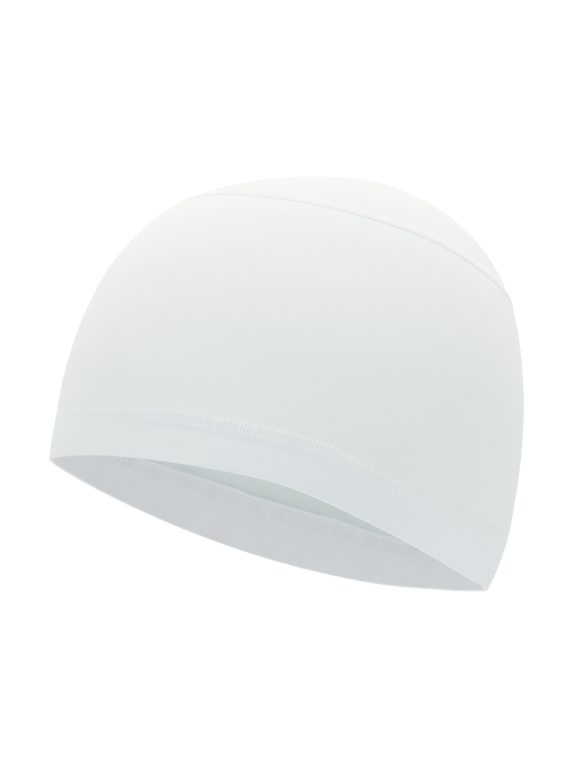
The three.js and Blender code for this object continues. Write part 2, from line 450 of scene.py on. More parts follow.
class Weave:
    """A grid of cloth cells that is laid over the cap by its row and column numbers."""

    def __init__(self, name: str, rows: int, columns: int) -> None:
        """Adds the flat grid.

        Args:
            name: Name of the piece.
            rows: Points up the cloth.
            columns: Points along the cloth.
        """
        deselect_all()
        bpy.ops.mesh.primitive_grid_add(x_subdivisions=columns - 1, y_subdivisions=rows - 1, size=1)
        self.piece = bpy.context.object
        self.piece.name = name
        self.piece.data.name = name
        flat = np.empty(len(self.piece.data.vertices) * 3)
        self.piece.data.vertices.foreach_get("co", flat)
        place = flat.reshape(-1, 3) + 0.5
        self.column = np.rint(place[:, 0] * (columns - 1)).astype(int)
        self.row = np.rint(place[:, 1] * (rows - 1)).astype(int)

    def lay(self, points: np.ndarray, pattern: np.ndarray) -> None:
        """Moves each grid point to its place and gives it its place in the knit.

        Args:
            points: Level millimetres, shaped rows by columns by 3.
            pattern: Place along and up the cloth in millimetres, rows by columns by 2.
        """
        mesh = self.piece.data
        placed = FORM.to_row(points)[self.row, self.column]
        mesh.vertices.foreach_set("co", placed.ravel())
        corners = np.empty(len(mesh.loops), dtype=int)
        mesh.loops.foreach_get("vertex_index", corners)
        knit = (MM * pattern)[self.row, self.column][corners]
        mesh.uv_layers[0].data.foreach_set("uv", knit.ravel())
        mesh.update()

    def finish_rows(self, last: int, index: int) -> None:
        """Gives the faces below a row the finish of an index, and the others the first one.

        Args:
            last: The row that ends them.
            index: Place of the finish in the piece's list.
        """
        faces = self.piece.data.polygons
        corner = np.array([face.vertices[0] for face in faces])
        chosen = np.where(self.row[corner] < last, index, 0)
        faces.foreach_set("material_index", chosen.astype(np.int32))

    def close_up(self) -> None:
        """Joins points that lie on each other, at a pole or where a ring meets itself."""
        make_active(self.piece)
        bpy.ops.object.mode_set(mode="EDIT")
        bpy.ops.mesh.select_all(action="SELECT")
        bpy.ops.mesh.remove_doubles(threshold=WELD)
        bpy.ops.object.mode_set(mode="OBJECT")

    def thicken(self, thickness: float) -> None:
        """Gives the sheet its wall, inwards from the outer face, with clean cut edges.

        Args:
            thickness: Thickness of the wall in millimetres.
        """
        apply_modifier(
            self.piece,
            "SOLIDIFY",
            thickness=thickness * MM,
            offset=-1.0,
            material_offset=1,
            material_offset_rim=0,
            edge_crease_inner=1.0,
            edge_crease_outer=1.0,
            edge_crease_rim=1.0,
        )
        apply_modifier(self.piece, "SUBSURF", levels=1, render_levels=1)
        make_active(self.piece)
        bpy.ops.object.shade_smooth_by_angle(angle=math.radians(SMOOTH_BELOW_DEG))


def crowded(count: int, start: float, end: float, low: float, high: float, reach: float) -> np.ndarray:
    """Places from start to end that crowd together towards the ends.

    Args:
        count: Number of places.
        start: First place.
        end: Last place.
        low: Share of the even spacing at the start.
        high: Share of the even spacing at the end.
        reach: Number of places over which the crowding fades.

    Returns:
        The places, in order.
    """
    step = np.arange(count - 1, dtype=float)
    gap = 1 - (1 - low) * np.exp(-step / reach) - (1 - high) * np.exp(-(count - 2 - step) / reach)
    run = np.concatenate([[0.0], np.cumsum(gap)])
    return start + (end - start) * run / run[-1]


def lengths_along(points: np.ndarray, axis: int) -> np.ndarray:
    """Length run so far along one axis of a grid of points.

    Args:
        points: The grid, with the three coordinates on its last axis.
        axis: The axis to follow.

    Returns:
        The length at each point, 0 at the start.
    """
    step = np.linalg.norm(np.diff(points, axis=axis), axis=-1)
    start = np.zeros_like(np.take(step, [0], axis=axis))
    return np.concatenate([start, np.cumsum(step, axis=axis)], axis=axis)


# Materials


def linear(hex_colour: str) -> tuple[float, float, float, float]:
    """An sRGB hex colour as the linear colour that a shader takes.

    Args:
        hex_colour: Red, green and blue as six hex digits.

    Returns:
        Red, green, blue and 1.
    """
    value = hex_colour.lstrip("#")
    channels = [int(value[i : i + 2], 16) / 255 for i in (0, 2, 4)]
    out = [c / 12.92 if c <= 0.04045 else ((c + 0.055) / 1.055) ** 2.4 for c in channels]
    return (out[0], out[1], out[2], 1.0)


def add_node(tree: bpy.types.NodeTree, kind: str, settings: dict, links: dict) -> bpy.types.Node:
    """Adds one node with its settings and links.

    Args:
        tree: The tree that takes the node.
        kind: Blender's name of the node type.
        settings: Properties by name, and input values by socket number or name.
        links: The socket that feeds each input, by socket number or name.

    Returns:
        The new node.
    """
    node = tree.nodes.new(kind)
    for key, value in settings.items():
        if isinstance(key, str) and hasattr(node, key):
            setattr(node, key, value)
        else:
            node.inputs[key].default_value = value
    for key, source in links.items():
        tree.links.new(source, node.inputs[key])
    return node


def maths(tree: bpy.types.NodeTree, operation: str, *values: object) -> bpy.types.NodeSocket:
    """One sum on sockets and numbers.

    Args:
        tree: The tree that takes the node.
        operation: Blender's name of the operation.
        *values: A socket or a number for each input.

    Returns:
        The result's socket.
    """
    settings: dict = {"operation": operation}
    links: dict = {}
    for index, value in enumerate(values):
        if isinstance(value, bpy.types.NodeSocket):
            links[index] = value
        else:
            settings[index] = value
    return add_node(tree, "ShaderNodeMath", settings, links).outputs[0]


def bare_material(name: str) -> bpy.types.Material:
    """Makes a material whose tree is still empty.

    Args:
        name: Name of the finish.

    Returns:
        The material.
    """
    material = bpy.data.materials.new(name)
    material.use_nodes = True
    material.node_tree.nodes.clear()
    return material


@dataclass(frozen=True)
class Surface:
    """What a cloth or thread surface is like, apart from its pattern."""

    colour: str
    roughness: float
    sheen: float
    sheen_roughness: float
    specular: float
    bump: float
    bump_depth: float

    def close(
        self,
        material: bpy.types.Material,
        tone: bpy.types.NodeSocket,
        height: bpy.types.NodeSocket,
    ) -> bpy.types.Material:
        """Ends a finish: tints its colour, raises its bump and joins both to the output.

        Args:
            material: The finish.
            tone: Factor on the colour.
            height: Height of the pattern, about 0 to 1.

        Returns:
            The finished material.
        """
        tree = material.node_tree
        tint = {"operation": "SCALE", 0: linear(self.colour)[:3]}
        colour = add_node(tree, "ShaderNodeVectorMath", tint, {"Scale": tone})
        raised = {"Strength": self.bump, "Distance": self.bump_depth * MM}
        bump = add_node(tree, "ShaderNodeBump", raised, {"Height": height})
        settings = {
            "Roughness": self.roughness,
            "Sheen Weight": self.sheen,
            "Sheen Roughness": self.sheen_roughness,
            "Specular IOR Level": self.specular,
        }
        links = {"Base Color": colour.outputs[0], "Normal": bump.outputs[0]}
        shader = add_node(tree, "ShaderNodeBsdfPrincipled", settings, links)
        add_node(tree, "ShaderNodeOutputMaterial", {}, {"Surface": shader.outputs[0]})
        return material


class KnitFace(Enum):
    """Which face of the jersey shows."""

    PLAIN = "plain"
    PURL = "purl"


@dataclass(frozen=True)
class JerseyFinish:
    """Polyester and elastane single jersey, circular knitted, bleached white.

    The eye sees a matt white cloth with soft columns of small V loops, a faint bloom of fine
    fibres at its edges and slight unevenness of the yarn.
    """

    name: str
    colour: str
    face: KnitFace = KnitFace.PLAIN
    roughness: float = 0.88
    sheen: float = 0.12
    # Real wales lie about 0.6 mm apart, too fine for the render, so they are drawn this coarse.
    wale: float = 1.25
    course: float = 1.0
    relief: float = 0.1
    purl_relief: float = 0.035
    # Share by which the gaps between the loops are darkened: painted shade in the knit's hollows.
    shade: float = 0.07
    # Loose fibres, and slow clouds in the bleached yarn.
    fuzz_scale: float = 320.0
    fuzz_tone: float = 0.07
    fuzz_height: float = 0.5
    cloud_scale: float = 26.0
    cloud_tone: float = 0.03

    def loops(self, tree: bpy.types.NodeTree) -> bpy.types.NodeSocket:
        """Height of the knitted loops, from 0 in the gaps to 1 on the yarn.

        Args:
            tree: The tree that takes the nodes.

        Returns:
            The height's socket.
        """
        place = add_node(tree, "ShaderNodeUVMap", {}, {})
        split = add_node(tree, "ShaderNodeSeparateXYZ", {}, {0: place.outputs[0]})
        along = maths(tree, "MULTIPLY", split.outputs[0], 1 / (self.wale * MM))
        up = maths(tree, "MULTIPLY", split.outputs[1], 1 / (self.course * MM))
        column = maths(tree, "FRACT", along)
        side = maths(tree, "ABSOLUTE", maths(tree, "SUBTRACT", column, 0.5))
        side = maths(tree, "MULTIPLY", side, 2.0)
        # The plain face shows the legs of the loops, the purl face their flat arcs.
        lean = 0.9 if self.face is KnitFace.PLAIN else -0.35
        leaning = maths(tree, "MULTIPLY_ADD", side, lean, up)
        wave = maths(tree, "SINE", maths(tree, "MULTIPLY", leaning, 2 * math.pi))
        strand = maths(tree, "MULTIPLY_ADD", wave, 0.5, 0.5)
        bow = maths(tree, "SUBTRACT", 1.0, maths(tree, "POWER", side, 3.0))
        if self.face is KnitFace.PURL:
            return strand
        return maths(tree, "MULTIPLY", strand, bow)

    def build(self) -> bpy.types.Material:
        """Makes the material.

        Returns:
            The finish.
        """
        material = bare_material(self.name)
        tree = material.node_tree
        loops = self.loops(tree)
        place = add_node(tree, "ShaderNodeTexCoord", {}, {})
        at = {"Vector": place.outputs["Object"]}
        fine = {"Scale": self.fuzz_scale, "Detail": 3.0, "Roughness": 0.6}
        fuzz = add_node(tree, "ShaderNodeTexNoise", fine, at).outputs[0]
        slow = {"Scale": self.cloud_scale, "Detail": 2.0}
        clouds = add_node(tree, "ShaderNodeTexNoise", slow, at).outputs[0]
        # Painted shade: the colour drops by the shade share in the gaps between the loops, where loops
        # is 0.
        tone = maths(tree, "MULTIPLY_ADD", loops, self.shade, 1.0 - self.shade)
        tone = maths(tree, "MULTIPLY_ADD", maths(tree, "SUBTRACT", fuzz, 0.5), self.fuzz_tone, tone)
        tone = maths(tree, "MULTIPLY_ADD", maths(tree, "SUBTRACT", clouds, 0.5), self.cloud_tone, tone)
        height = maths(tree, "MULTIPLY_ADD", fuzz, self.fuzz_height, loops)
        surface = Surface(
            colour=self.colour,
            roughness=self.roughness,
            sheen=self.sheen,
            sheen_roughness=0.5,
            specular=0.25,
            bump=0.7,
            bump_depth=self.purl_relief if self.face is KnitFace.PURL else self.relief,
        )
        return surface.close(material, tone, height)


@dataclass(frozen=True)
class ThreadFinish:
    """Textured polyester sewing thread: bulky, soft and a little brighter than the cloth."""

    name: str
    colour: str
    roughness: float = 0.75
    sheen: float = 0.15
    # Clumps of crimped fibre, in millimetres, and how much they lighten and darken.
    fibre: float = 0.22
    fibre_tone: float = 0.12

    def build(self) -> bpy.types.Material:
        """Makes the material.

        Returns:
            The finish.
        """
        material = bare_material(self.name)
        tree = material.node_tree
        place = add_node(tree, "ShaderNodeTexCoord", {}, {})
        clumps = {"Scale": 1 / (self.fibre * MM) / 4, "Detail": 3.0, "Roughness": 0.7}
        at = {"Vector": place.outputs["Object"]}
        fibres = add_node(tree, "ShaderNodeTexNoise", clumps, at).outputs[0]
        tone = maths(tree, "MULTIPLY_ADD", fibres, self.fibre_tone, 1 - self.fibre_tone / 2)
        surface = Surface(
            colour=self.colour,
            roughness=self.roughness,
            sheen=self.sheen,
            sheen_roughness=0.4,
            specular=0.5,
            bump=0.6,
            bump_depth=0.06,
        )
        return surface.close(material, tone, fibres)


@dataclass
class Finishes:
    """The finishes that the pieces share."""

    panel: bpy.types.Material
    panel_inside: bpy.types.Material
    gusset: bpy.types.Material
    gusset_inside: bpy.types.Material
    hem: bpy.types.Material
    hem_turned_up: bpy.types.Material
    thread: bpy.types.Material
    looper_thread: bpy.types.Material

    @classmethod
    def make(cls) -> "Finishes":
        """Makes every finish once.

        Returns:
            The finishes.
        """
        purl = KnitFace.PURL
        return cls(
            panel=JerseyFinish("jersey_panel", "#E6F0EB").build(),
            panel_inside=JerseyFinish("jersey_panel_inside", "#DBE5E3", purl).build(),
            gusset=JerseyFinish("jersey_gusset", "#E2E2DE").build(),
            gusset_inside=JerseyFinish("jersey_gusset_inside", "#DBE5E3", purl).build(),
            hem=JerseyFinish("jersey_hem", "#E4EEF2").build(),
            hem_turned_up=JerseyFinish("jersey_hem_turned_up", "#ECE9F0").build(),
            thread=ThreadFinish("textured_thread", "#F4F8FA").build(),
            looper_thread=ThreadFinish("textured_looper_thread", "#FBFBFD").build(),
        )


def dress(piece: bpy.types.Object, materials: list[bpy.types.Material]) -> None:
    """Gives a piece its finishes and its body.

    Args:
        piece: The piece.
        materials: Its finishes, the outer one first.
    """
    piece.data.materials.clear()
    for material in materials:
        piece.data.materials.append(material)
    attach(piece, "root")


# Cloth pieces


class Side(Enum):
    """The wearer's sides."""

    LEFT = 1
    RIGHT = -1


@dataclass
class SidePanel:
    """One large side panel, from the hem's stitch line up to the crown seam."""

    side: Side
    # Points of the grid. The lowest share of the panel, which is sewn, has rows of its own.
    sewn_rows: int = 27
    sewn_share: float = 0.155
    rows: int = 66
    columns: int = 112
    cloth: float = 0.8
    # Gaps to the other side panel, and to the hem and the gusset.
    edge_gap: float = 0.03
    joint_gap: float = 0.02
    # The crown seam draws the edge in, and the drape calms down towards it.
    edge_depth: float = 0.1
    edge_width: float = 0.7
    calm_edge: float = 6.0
    # The cut panel has a tenth less cloth than the worn one, which is stretched.
    flat: tuple[float, float] = (0.112, 0.252)
    flat_area: float = 0.0255

    @property
    def name(self) -> str:
        """Name of the CAD node that the panel stands for."""
        return "side_panel_left" if self.side is Side.LEFT else "side_panel_right"

    def grid(self) -> tuple[np.ndarray, np.ndarray]:
        """Works out the points and the knit of the panel.

        Returns:
            Points in level millimetres, and the place along and up the cloth.
        """
        turn = crowded(self.columns, 0.0, math.pi, low=0.16, high=0.16, reach=6.0)
        if self.side is Side.RIGHT:
            turn = turn - math.pi
        bottom = FORM.level_of(FORM.stitch_line + FORM.stitch_drift(turn) + self.joint_gap)
        seam = FORM.crown_seam_level(turn)
        seam = FORM.above(seam, turn, np.full_like(turn, -self.joint_gap))
        sewn = np.linspace(0.0, self.sewn_share, self.sewn_rows)
        body_rows = self.rows - self.sewn_rows + 1
        body = crowded(body_rows, self.sewn_share, 1.0, low=0.3, high=0.12, reach=5.0)
        share = np.concatenate([sewn, body[1:]])[:, None]
        level = bottom + (seam[None, :] - bottom) * share
        turns = np.broadcast_to(turn, level.shape)
        skin = FORM.skin(level, turns)
        up = lengths_along(skin, 0)
        to_seam = up[-1][None, :] - up
        height = spline(FORM.rows, level)[..., 0]
        depth = RELIEF.body(height, turns) + RELIEF.drape(height, turns)
        depth = depth * np.clip(to_seam / self.calm_edge, 0.0, 1.0)
        drawn_in = self.edge_depth * FORM.crown_seam_pull(turns)
        depth = depth + drawn_in * hill(to_seam, 0.0, self.edge_width)
        depth = depth + CentreStitching.groove(skin[..., 0])
        points = skin - FORM.normal(level, turns) * depth[..., None]
        reach = np.maximum(np.abs(points[..., 0]), self.edge_gap)
        points[..., 0] = self.side.value * reach
        along = lengths_along(skin, 1)
        middle = self.columns // 2
        along = along - along[:, [middle]]
        return points, np.stack([along, up], axis=-1)

    def build(self, finishes: Finishes) -> bpy.types.Object:
        """Makes and dresses the panel.

        Args:
            finishes: The shared finishes.

        Returns:
            The finished piece.
        """
        weave = Weave(f"{self.name}_cloth", self.rows, self.columns)
        points, pattern = self.grid()
        weave.lay(points, pattern)
        dress(weave.piece, [finishes.panel, finishes.panel_inside])
        weave.thicken(self.cloth)
        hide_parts(self.name)
        return weave.piece


@dataclass
class CrownGusset:
    """The oval panel over the crown, with a raised sewn edge."""

    # Rings of the grid, and the steps over which each is measured from the seam.
    rings: int = 42
    spoke_steps: int = 60
    cloth: float = 0.8
    edge: float = 0.02
    # The doubled band along the seam, the groove beside it and the needles' line.
    band_rise: float = 0.22
    band_slope: tuple[float, float] = (0.5, 6.2)
    groove: Fold = Fold(0.12, 0.0, 0.5)
    needles: Fold = Fold(0.05, 5.2, 0.6)
    calm_edge: float = 10.0
    calm_apex: float = 1.2
    flat: tuple[float, float] = (0.136, 0.168)
    flat_area: float = 0.0175

    @staticmethod
    def band_depth(inward: np.ndarray, turn: np.ndarray) -> np.ndarray:
        """How far the face sinks on the doubled band beside the seam.

        Args:
            inward: Millimetres from the seam towards the apex.
            turn: Radians from the brow.

        Returns:
            Depth at each place, less than nothing where it stands proud.
        """
        rise = CrownGusset.band_rise * (1 - ramp(inward, *CrownGusset.band_slope))
        groove = FORM.crown_seam_pull(turn) * CrownGusset.groove.at(inward)
        return groove - rise + CrownGusset.needles.at(inward)

    def spokes(self) -> tuple[np.ndarray, np.ndarray]:
        """Lays a square grid over the oval as rings, so that no pole is needed.

        Returns:
            The ring of each grid point, 0 at the sewn edge, and its turn.
        """
        count = 2 * self.rings + 1
        side = np.linspace(-1.0, 1.0, count)
        u, v = np.meshgrid(side, side)
        ring = np.maximum(np.abs(u), np.abs(v))
        safe = np.maximum(ring, 1e-9)
        upright = np.abs(v) >= np.abs(u)
        lean = np.where(upright, u, v) / safe * math.pi / 4
        front = np.where(v < 0, lean, math.pi - lean)
        side_turn = np.where(u > 0, math.pi / 2 + lean, -math.pi / 2 - lean)
        turn = np.where(upright, front, side_turn)
        return self.rings * (1 - ring), turn

    def grid(self) -> tuple[np.ndarray, np.ndarray]:
        """Works out the points and the knit of the gusset.

        Returns:
            Points in level millimetres, and the place along and up the cloth.
        """
        ring, turns = self.spokes()
        share = crowded(self.rings + 1, 0.0, 1.0, low=0.2, high=1.0, reach=9.0)
        share = np.interp(ring, np.arange(self.rings + 1), share)
        seam = FORM.crown_seam_level(turns)
        seam = FORM.above(seam, turns, np.full_like(turns, self.edge))
        level = seam + (FORM.top_level - seam) * share
        run = np.linspace(0.0, 1.0, self.spoke_steps).reshape(-1, 1, 1)
        spoke = FORM.skin(seam + (level - seam) * run, turns)
        inward = lengths_along(spoke, 0)[-1]
        skin = FORM.skin(level, turns)
        height = spline(FORM.rows, level)[..., 0]
        depth = RELIEF.drape(height, turns) * np.clip(inward / self.calm_edge, 0.0, 1.0)
        depth = depth * np.clip((FORM.top_level - level) / self.calm_apex, 0.0, 1.0)
        depth = depth + self.band_depth(inward, turns)
        points = skin - FORM.normal(level, turns) * depth[..., None]
        return points, skin[..., :2]

    def build(self, finishes: Finishes) -> bpy.types.Object:
        """Makes and dresses the gusset.

        Args:
            finishes: The shared finishes.

        Returns:
            The finished piece.
        """
        count = 2 * self.rings + 1
        weave = Weave("crown_gusset_cloth", count, count)
        points, pattern = self.grid()
        weave.lay(points, pattern)
        dress(weave.piece, [finishes.gusset, finishes.gusset_inside])
        weave.thicken(self.cloth)
        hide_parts("crown_gusset")
        return weave.piece


@dataclass
class HemBand:
    """The hem: one strip of cloth folded up inside, with a raw edge that waves a little."""

    columns: int = 236
    inner_rows: int = 24
    fold_rows: int = 6
    outer_rows: int = 18
    cloth: float = 0.7
    fold_radius: float = 0.8
    fold_drop: float = 0.5
    joint_gap: float = 0.02
    # The turned-up edge inside, lowest at the brow and nape, and the turns where it climbs.
    edge_low: float = 22.8
    edge_climb: float = 4.1
    climbs: tuple[float, float] = (0.77, 1.33)
    falls: tuple[float, float] = (1.78, 2.23)
    # How far the cut edge curls off the cloth, and the pucker of the net beside it.
    curl: float = 0.45
    curl_fades_over: float = 0.9
    pucker: Fold = Fold(0.08, 20.5, 3.4)
    calm_fold: float = 3.0
    measured_at: float = 10.0
    flat: tuple[float, float] = (0.045, 0.5)

    @staticmethod
    def edge_height(turn: np.ndarray) -> np.ndarray:
        """Height of the turned-up edge inside the cap, which is highest at the sides.

        Args:
            turn: Radians from the brow.

        Returns:
            Millimetres above the rim.
        """
        away = from_brow(turn)
        share = ramp(away, *HemBand.climbs) * (1 - ramp(away, *HemBand.falls))
        return HemBand.edge_low + HemBand.edge_climb * share

    def raw_edge(self, turn: np.ndarray) -> np.ndarray:
        """Height of the edge with the small waves of its cut.

        Args:
            turn: Radians from the brow.

        Returns:
            Millimetres above the rim.
        """
        # 23 waves round the cap, and 37 finer ones that lie unevenly.
        wave = 0.16 * np.sin(23 * turn + 0.7) + 0.12 * np.sin(37 * turn + 2.0 * np.sin(3 * turn))
        return self.edge_height(turn) + wave

    def grid(self) -> tuple[np.ndarray, np.ndarray]:
        """Works out the points and the knit of the strip.

        Returns:
            Points in level millimetres, and the place along and up the cloth.
        """
        turn = np.linspace(0.0, 2 * math.pi, self.columns)[None, :]
        radius, drop = self.fold_radius, self.fold_drop
        inner = 2 * radius
        down = crowded(self.inner_rows, 0.0, 1.0, low=0.35, high=0.8, reach=5.0)[:, None]
        edge = self.raw_edge(turn)
        inner_height = edge + (drop - edge) * down
        curl = self.curl * np.exp((inner_height - edge) / self.curl_fades_over)
        # 47 puckers round the cap, unevenly spaced.
        pucker = self.pucker.at(inner_height) * np.sin(47 * turn + 1.3 * np.sin(9 * turn))
        inner_depth = inner + curl + pucker + RELIEF.back_crease(inner_height, turn)
        angle = np.linspace(0.0, math.pi, self.fold_rows + 2)[1:-1, None] + 0 * turn
        fold_height = drop - drop * np.sin(angle)
        fold_depth = radius + radius * np.cos(angle)
        up = np.linspace(0.0, 1.0, self.outer_rows)[:, None]
        top = FORM.stitch_line + FORM.stitch_drift(turn) - self.joint_gap
        outer_height = drop + (top - drop) * up + 0 * turn
        outer_depth = RELIEF.body(outer_height, turn) + RELIEF.drape(outer_height, turn) * up
        outer_depth = outer_depth * np.clip((outer_height - drop) / self.calm_fold, 0.0, 1.0)
        height = np.vstack([inner_height, fold_height, outer_height])
        depth = np.vstack([inner_depth, fold_depth, outer_depth])
        turns = np.broadcast_to(turn, height.shape)
        level = FORM.level_of(height)
        skin = FORM.skin(level, turns)
        points = skin - FORM.normal(level, turns) * depth[..., None]
        across = lengths_along(points, 0)
        middle = FORM.level_of(np.full_like(turns, self.measured_at))
        along = lengths_along(FORM.skin(middle, turns), 1)
        return points, np.stack([along, across], axis=-1)

    def build(self, finishes: Finishes) -> bpy.types.Object:
        """Makes and dresses the hem.

        Args:
            finishes: The shared finishes.

        Returns:
            The finished piece.
        """
        # The finishes from the third on are for the faces that are turned up inside.
        rows = self.inner_rows + self.fold_rows + self.outer_rows
        weave = Weave("hem_band_cloth", rows, self.columns)
        points, pattern = self.grid()
        weave.lay(points, pattern)
        hem, turned = finishes.hem, finishes.hem_turned_up
        dress(weave.piece, [hem, hem, turned, turned])
        weave.finish_rows(self.inner_rows, 2)
        weave.close_up()
        weave.thicken(self.cloth)
        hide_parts("hem_band")
        return weave.piece


# Stitching

# Steps along each bar and each curl, which have one point more.
BAR_STEPS = 6
CURL_STEPS = 12
# Share of a thread's half wave that is cut off at each end, so that it never gets to nothing.
END_TRIM = 0.12
# Points at which a seam is measured.
RING_POINTS = 2881
CENTRE_POINTS = 600


class Face(Enum):
    """The faces of the cloth. The value is the way out of it."""

    OUTER = 1.0
    INNER = -1.0


class Strand:
    """A short straight thread, modelled once and bent along each stitch that it copies."""

    def __init__(self, sides: int, steps: int) -> None:
        """Models the thread as a ring that is extruded step by step and closed.

        Args:
            sides: Faces round the thread.
            steps: Faces along the thread.
        """
        deselect_all()
        bpy.ops.mesh.primitive_circle_add(vertices=sides, radius=1.0, fill_type="NGON")
        piece = bpy.context.object
        bpy.ops.object.mode_set(mode="EDIT")
        bpy.ops.mesh.select_all(action="SELECT")
        for _ in range(steps):
            bpy.ops.mesh.extrude_region_move(TRANSFORM_OT_translate={"value": (0.0, 0.0, 1.0)})
        bpy.ops.mesh.select_all(action="SELECT")
        bpy.ops.mesh.normals_make_consistent(inside=False)
        bpy.ops.object.mode_set(mode="OBJECT")
        flat = np.empty(len(piece.data.vertices) * 3)
        piece.data.vertices.foreach_get("co", flat)
        place = flat.reshape(-1, 3)
        self.section = place[:, :2]
        self.step = np.rint(place[:, 2]).astype(int)
        self.steps = steps
        # Extruding gives the faces in any order, so they are sorted to be alike in each run.
        self.faces = sorted((tuple(face.vertices) for face in piece.data.polygons), key=sorted)
        bpy.data.meshes.remove(piece.data)


@dataclass
class StitchPath:
    """Paths of one kind of stitch, repeated along a seam.

    along, across and lift are millimetres on the skin, shaped stitches by points. The taper is
    the share of its thickness that the thread loses towards its ends.
    """

    along: np.ndarray
    across: np.ndarray
    lift: np.ndarray
    width: float
    thickness: float
    taper: float = 0.75


class Seam:
    """A line on the cap that stitches follow."""

    length: float

    def place(self, along: np.ndarray, across: np.ndarray) -> tuple[np.ndarray, np.ndarray]:
        """Level and turn of a place beside the seam.

        Args:
            along: Millimetres along the seam.
            across: Millimetres across it.

        Returns:
            The levels and the turns.
        """
        raise NotImplementedError

    def sunk(self, level: np.ndarray, turn: np.ndarray, across: np.ndarray) -> np.ndarray:
        """Depth of the cloth's face below the smooth skin at each place."""
        raise NotImplementedError


class RingSeam(Seam):
    """A seam that runs right round the cap."""

    def __init__(
        self,
        base: Callable[[np.ndarray], np.ndarray],
        depth: Callable[[np.ndarray, np.ndarray, np.ndarray], np.ndarray],
    ) -> None:
        """Measures the ring.

        Args:
            base: Function of turn that gives the seam's level.
            depth: Function of level, turn and distance across that gives the face's depth.
        """
        self.base = base
        self.depth = depth
        self.turns = np.linspace(0.0, 2 * math.pi, RING_POINTS)
        points = FORM.skin(self.base(self.turns), self.turns)
        self.run = lengths_along(points, 0)
        self.length = float(self.run[-1])

    def place(self, along: np.ndarray, across: np.ndarray) -> tuple[np.ndarray, np.ndarray]:
        """Level and turn of a place beside the seam."""
        turn = np.interp(along % self.length, self.run, self.turns)
        return FORM.above(self.base(turn), turn, across), turn

    def sunk(self, level: np.ndarray, turn: np.ndarray, across: np.ndarray) -> np.ndarray:
        """Depth of the cloth's face below the smooth skin at each place."""
        return self.depth(level, turn, across)


class CentreSeam(Seam):
    """A seam up the middle of the brow or the nape, which stops short of the crown seam."""

    stops_short: float = 1.5

    def __init__(self, turn: float, low: float, face: Face) -> None:
        """Measures the seam.

        Args:
            turn: 0 for the brow and pi for the nape.
            low: Height where it starts.
            face: The face that the stitches lie on.
        """
        self.turn = turn
        self.face = face
        start, end = float(FORM.level_of(low)), float(FORM.crown_seam_level(np.array(turn)))
        self.levels = np.linspace(start, end, CENTRE_POINTS)
        points = FORM.skin(self.levels, np.full_like(self.levels, turn))
        self.run = lengths_along(points, 0)
        self.length = float(self.run[-1]) - self.stops_short

    def place(self, along: np.ndarray, across: np.ndarray) -> tuple[np.ndarray, np.ndarray]:
        """Level and turn of a place beside the seam."""
        level = np.interp(along, self.run, self.levels)
        return level, FORM.turn_beside_centre(level, np.full_like(level, self.turn), across)

    def sunk(self, level: np.ndarray, turn: np.ndarray, across: np.ndarray) -> np.ndarray:
        """Depth of the cloth's face below the smooth skin at each place.

        Args:
            level: 0 at the rim, top_level at the apex.
            turn: Radians from the brow.
            across: Millimetres across the seam.

        Returns:
            Depth in millimetres.
        """
        height = spline(FORM.rows, level)[..., 0]
        depth = RELIEF.body(height, turn) + CentreStitching.groove(across)
        return depth + (SidePanel.cloth if self.face is Face.INNER else 0.0)


def bent(seam: Seam, strand: Strand, path: StitchPath, face: Face) -> np.ndarray:
    """Bends a copy of the strand along every stitch of a path.

    Args:
        seam: The line that the stitches follow.
        strand: The straight thread.
        path: The stitches.
        face: The face that they lie on.

    Returns:
        Points in metres, shaped stitches by points of the strand by 3.
    """
    level, turn = seam.place(path.along, path.across)
    depth = seam.sunk(level, turn, path.across) - face.value * path.lift
    out = FORM.normal(level, turn)
    spine = FORM.skin(level, turn) - out * depth[..., None]
    ahead = np.gradient(spine, axis=1)
    ahead /= np.linalg.norm(ahead, axis=-1, keepdims=True)
    beside = np.cross(ahead, out)
    beside /= np.linalg.norm(beside, axis=-1, keepdims=True)
    proud = np.cross(beside, ahead)
    full = np.sin(np.linspace(END_TRIM, 1 - END_TRIM, strand.steps + 1) * math.pi) ** 0.5
    size = 1 - path.taper * (1 - full)
    around = strand.section[:, 0] * size[strand.step] * path.width / 2
    over = strand.section[:, 1] * size[strand.step] * path.thickness / 2
    points = spine[:, strand.step] + beside[:, strand.step] * around[None, :, None]
    points = points + proud[:, strand.step] * over[None, :, None]
    return FORM.to_row(points)


def sew(name: str, seam: Seam, strand: Strand, paths: list[StitchPath], face: Face) -> bpy.types.Object:
    """Copies the strand along every stitch path and joins the copies into one piece.

    Args:
        name: Name of the piece.
        seam: The line that the stitches follow.
        strand: The straight thread that is bent.
        paths: The stitches.
        face: The face that they lie on.

    Returns:
        The piece.
    """
    threads = np.concatenate([bent(seam, strand, path, face) for path in paths])
    faces: list[tuple[int, ...]] = []
    for start in range(0, threads.shape[0] * threads.shape[1], threads.shape[1]):
        faces.extend(tuple(start + index for index in corners) for corners in strand.faces)
    mesh = bpy.data.meshes.new(name)
    mesh.from_pydata(threads.reshape(-1, 3).tolist(), [], faces)
    mesh.update()
    piece = bpy.data.objects.new(name, mesh)
    bpy.context.scene.collection.objects.link(piece)
    make_active(piece)
    bpy.ops.object.mode_set(mode="EDIT")
    bpy.ops.mesh.select_all(action="SELECT")
    bpy.ops.mesh.normals_make_consistent(inside=False)
    bpy.ops.object.mode_set(mode="OBJECT")
    bpy.ops.object.shade_smooth()
    return piece


@dataclass
class StitchRow:
    """How one row of stitches is drawn, in millimetres."""

    # Where a stitch starts and ends across the seam, and its slant in pitches.
    low: float
    high: float
    lean: float
    # The thread, how far its middle stands off the cloth, and how deep its ends go in.
    width: float
    thickness: float
    lift: float
    dig: float = -0.12
    # How uneven the stitches are, and where they are highest: above one is further up.
    jitter: float = 0.06
    crest: float = 1.0
    lean_jitter: float = 0.15
    lift_jitter: float = 0.2


